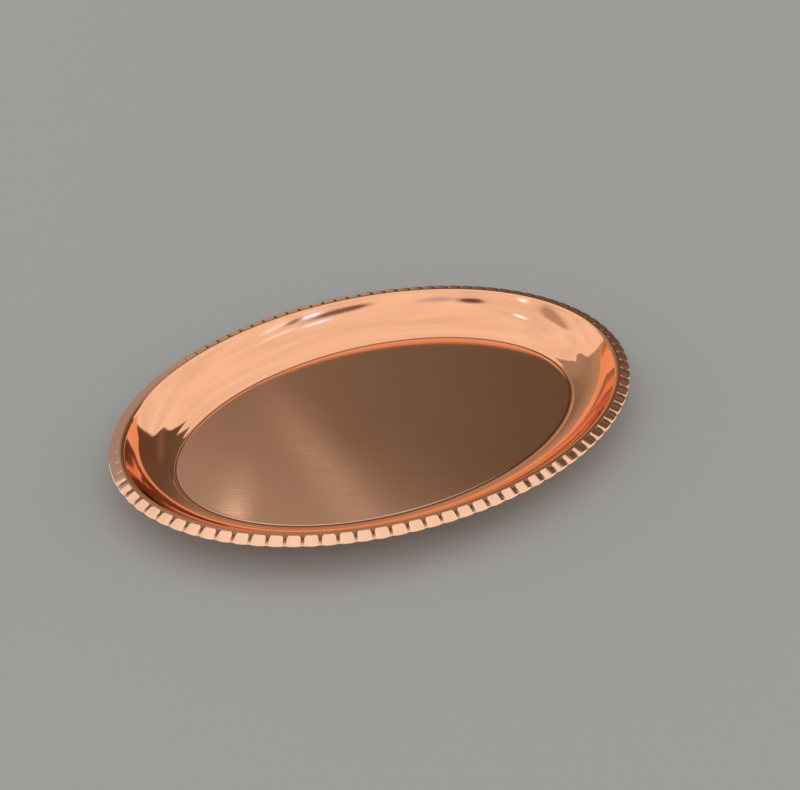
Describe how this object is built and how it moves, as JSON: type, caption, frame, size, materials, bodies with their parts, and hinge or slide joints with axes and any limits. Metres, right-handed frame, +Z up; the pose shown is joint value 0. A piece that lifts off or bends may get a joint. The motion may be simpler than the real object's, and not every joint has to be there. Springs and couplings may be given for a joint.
{
  "type": "oval serving tray",
  "caption": "Shallow oval metal tray with a flat floor, a hollow sloping wall and a fluted rim that is turned down over a stiffening wire.",
  "frame": {"origin": "on the ground under the middle of the oval, level with the underside of the floor", "axes": "+X along the tray's long axis, +Y along its short axis, +Z up out of the well"},
  "size_m": [0.3, 0.21, 0.0221],
  "materials": {
    "polished_copper": "polished copper sheet, with a brushed floor",
    "border_copper": "stamped and polished copper strip",
    "wire_copper": "drawn copper wire, not polished"
  },
  "bodies": {
    "root": {"tray_pan": "polished_copper", "fluted_border": "border_copper", "rim_wire": "wire_copper"}
  },
  "joints": []
}
